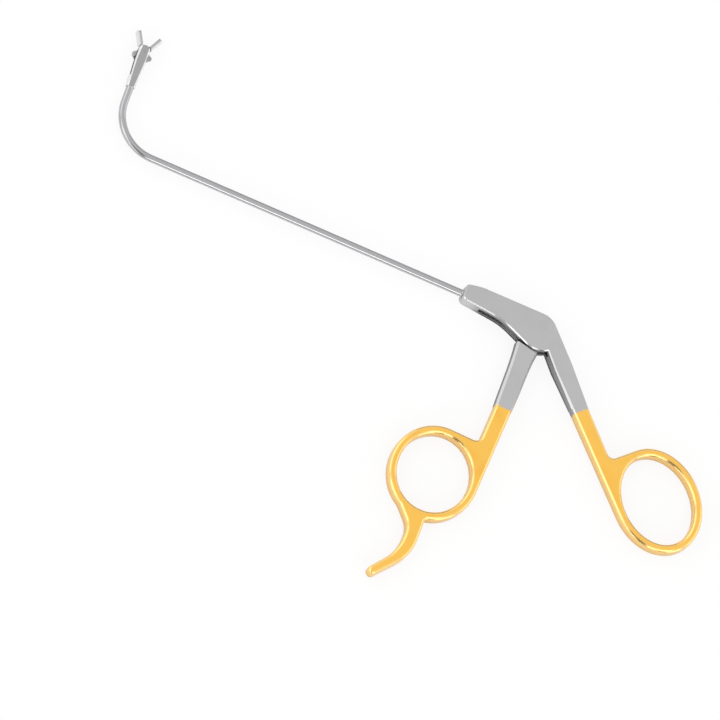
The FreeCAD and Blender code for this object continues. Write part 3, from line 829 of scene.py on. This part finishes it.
@dataclass
class ForcepsHead:
    """The clevis, both jaws, their links and pins."""

    # The clevis's and the jaws' edge, wall, foot and nose tones are painted highlights, far
    # lighter than their faces.
    clevis: SteelFinish = SteelFinish(
        "clevis_steel", tone=grey(0.42), dull_tone=grey(0.37), painted_edge_highlight=grey(0.84, 0.85),
        painted_wall_shade_and_light=grey(0.84, 0.85), painted_foot_shade_and_light=grey(0.84, 0.85), painted_nose_highlight_and_shade=grey(0.84, 0.85),
        rim_shine=1.0, grind=Grind.SATIN, grain_angle=90.0, satin=0.3, polish=0.14,
    )
    jaws: SteelFinish = SteelFinish(
        "jaw_steel", tone=grey(0.50), dull_tone=grey(0.44), painted_edge_highlight=grey(0.80, 0.81),
        painted_wall_shade_and_light=grey(0.80, 0.81), painted_foot_shade_and_light=grey(0.80, 0.81), painted_nose_highlight_and_shade=grey(0.80, 0.81),
        rim_shine=1.0, grind=Grind.SATIN, grain_angle=90.0, satin=0.3, polish=0.16,
        flat_from=0.70, flat_to=0.86,
    )
    # The links' wall and nose tones are painted shade, darker than their faces.
    links: SteelFinish = SteelFinish(
        "link_steel", tone=grey(0.44), dull_tone=grey(0.36), painted_wall_shade_and_light=grey(0.25),
        painted_nose_highlight_and_shade=grey(0.25), satin=0.3,
    )
    pins: SteelFinish = SteelFinish(
        "pin_steel", tone=grey(0.42), dull_tone=grey(0.37), painted_edge_highlight=grey(0.42),
        grind=Grind.SATIN, grain_angle=90.0, satin=0.3,
    )

    def dress(self, dresser: Dresser) -> None:
        """Put ground steel on every piece of the head.

        Args:
            dresser: Makes the materials and puts them on.
        """
        dresser.paint(dresser.steel(self.clevis), ["jaw_clevis"])
        dresser.paint(dresser.steel(self.jaws), ["jaw_a", "jaw_b"])
        dresser.paint(dresser.steel(self.links), ["link_a", "link_b"])
        pins = ["jaw_pivot_pin", "tail_pin_a", "tail_pin_b", "link_rod_pin"]
        dresser.paint(dresser.steel(self.pins), pins)


@dataclass(frozen=True)
class Panel:
    """A brighter or darker rectangle on the sky, with soft edges."""

    azimuth: float
    half_width: float
    low: float
    high: float
    gain: float
    soft: float = 3.0
    least_level: float = 0.0025

    def light(self, graph: Graph, toward: Value) -> Value:
        """What the panel adds to the sky's strength.

        Args:
            graph: The sky's graph.
            toward: The direction whose light is asked for.

        Returns:
            The panel's gain inside it and 0 outside.
        """
        x, y, z = graph.split(toward)
        heading = math.radians(self.azimuth)
        level = (1.0 - z * z).high(self.least_level) ** 0.5
        along = (x * math.cos(heading) + y * math.sin(heading)) / level
        near = math.cos(math.radians(max(self.half_width - self.soft, 0.0)))
        far = math.cos(math.radians(self.half_width + self.soft))
        rise = math.radians(self.soft)
        foot = z.step(self.low - rise, self.low + rise)
        top = 1.0 - z.step(self.high - rise, self.high + rise)
        return along.step(far, near) * (foot * top) * self.gain


@dataclass
class Studio:
    """Floor, sky, softbox and the camera."""

    frame_width: float = 225.0 * MM
    middle: Point = (-33.43 * MM, -28.97 * MM, -10.20 * MM)
    right: Point = (0.9083, 0.3326, 0.2534)
    up: Point = (-0.3941, 0.8834, 0.2534)
    back: Point = (-0.1396, -0.3301, 0.9335)
    distance: float = 0.9
    nearest: float = 0.01
    floor_size: float = 3.0
    floor_drop: float = 0.02 * MM
    paper: Colour = grey(0.90)
    seen_glow: float = 0.86
    mirrored_glow: float = 0.25
    key_toward: Point = (-0.63, -0.66, 0.407)
    key_size: tuple[float, float] = (1.0, 0.55)
    key_power: float = 1.1
    key_distance: float = 1.1
    sky_level: float = 0.95
    panels: tuple[Panel, ...] = (
        Panel(azimuth=-80.0, half_width=10.0, low=0.33, high=0.62, gain=2.6),
        Panel(azimuth=-80.0, half_width=27.0, low=0.02, high=0.33, gain=-0.70),
        Panel(azimuth=-118.0, half_width=11.0, low=0.25, high=0.38, gain=1.3),
        Panel(azimuth=-106.0, half_width=18.0, low=0.43, high=0.95, gain=-0.72),
        Panel(azimuth=-48.0, half_width=14.0, low=0.55, high=0.88, gain=1.3),
        Panel(azimuth=-155.0, half_width=16.0, low=0.50, high=0.86, gain=0.9),
        Panel(azimuth=-36.0, half_width=15.0, low=0.04, high=0.42, gain=1.3),
        Panel(azimuth=86.0, half_width=30.0, low=-0.08, high=0.38, gain=-0.60),
        Panel(azimuth=156.0, half_width=26.0, low=0.28, high=0.76, gain=0.65),
        Panel(azimuth=14.0, half_width=24.0, low=0.10, high=0.52, gain=0.55),
    )

    def camera(self) -> None:
        """Add the camera, without perspective, as the photograph's long lens saw it."""
        data = bpy.data.cameras.new("camera")
        data.type = "ORTHO"
        data.ortho_scale = self.frame_width
        data.clip_start = self.nearest
        camera = bpy.data.objects.new("camera", data)
        bpy.context.scene.collection.objects.link(camera)
        turn = Matrix((self.right, self.up, self.back)).transposed()
        place = Vector(self.middle) + Vector(self.back) * self.distance
        camera.matrix_world = Matrix.Translation(place) @ turn.to_4x4()
        bpy.context.scene.camera = camera

    def floor(self) -> None:
        """Add the pale floor, which keeps a faint shadow."""
        mesh = bpy.data.meshes.new("floor")
        built = bmesh.new()
        bmesh.ops.create_grid(built, x_segments=1, y_segments=1, size=self.floor_size / 2)
        built.to_mesh(mesh)
        built.free()
        floor = bpy.data.objects.new("floor", mesh)
        floor.location = (0.0, 0.0, -self.floor_drop)
        bpy.context.scene.collection.objects.link(floor)
        mesh.materials.append(self.floor_white())

    def floor_white(self) -> bpy.types.Material:
        """Make white paper that shows as the background, to the eye and in the metal.

        Returns:
            The floor's material.
        """
        material, graph = Dresser.start("floor_white")
        matt = {"Color": (*self.paper, 1.0)}
        paper = graph.node("ShaderNodeBsdfDiffuse", inputs=matt)["BSDF"]
        white = {"Color": (1.0, 1.0, 1.0, 1.0), "Strength": 1.0}
        glow = graph.node("ShaderNodeEmission", inputs=white)["Emission"]
        path = graph.node("ShaderNodeLightPath")
        mirrored = path["Is Glossy Ray"] + path["Is Transmission Ray"]
        share = path["Is Camera Ray"] * self.seen_glow + mirrored * self.mirrored_glow
        graph.surface(graph.shaders(share, paper, glow))
        return material

    def sky(self) -> None:
        """Light the scene softly, with brighter and darker panels for the metal to mirror."""
        world = bpy.data.worlds.new("studio")
        bpy.context.scene.world = world
        world.use_nodes = True
        graph = Graph(world.node_tree)
        toward = graph.node("ShaderNodeTexCoord")["Generated"]
        strength: Operand = self.sky_level
        for panel in self.panels:
            strength = strength + panel.light(graph, toward)
        shown = graph.node("ShaderNodeLightPath")["Is Camera Ray"]
        final = strength + (1.0 - strength) * shown
        plain = {"Color": (1.0, 1.0, 1.0, 1.0), "Strength": final}
        light = graph.node("ShaderNodeBackground", inputs=plain)["Background"]
        graph.node("ShaderNodeOutputWorld", inputs={"Surface": light})

    def key_light(self) -> None:
        """Add the soft lamp, which points at the origin."""
        data = bpy.data.lights.new("key", "AREA")
        data.shape = "RECTANGLE"
        data.size, data.size_y = self.key_size
        data.energy = self.key_power
        lamp = bpy.data.objects.new("key", data)
        bpy.context.scene.collection.objects.link(lamp)
        direction = Vector(self.key_toward).normalized()
        turn = direction.to_track_quat("Z", "Y").to_matrix().to_4x4()
        lamp.matrix_world = Matrix.Translation(direction * self.key_distance) @ turn

    def build(self) -> None:
        """Set the whole studio up."""
        bpy.context.scene.view_settings.view_transform = "Standard"
        self.camera()
        self.floor()
        self.sky()
        self.key_light()
        LOG.info("studio is set")


def main() -> None:
    """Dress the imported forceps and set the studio."""
    logging.basicConfig(level=logging.INFO)
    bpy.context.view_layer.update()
    dresser = Dresser(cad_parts)
    for assembly in (FixedHandle(), LeverHandle(), Shaft(), ForcepsHead()):
        assembly.dress(dresser)
        LOG.info("%s is dressed", type(assembly).__name__)
    Studio().build()


if __name__ == "__main__":
    main()
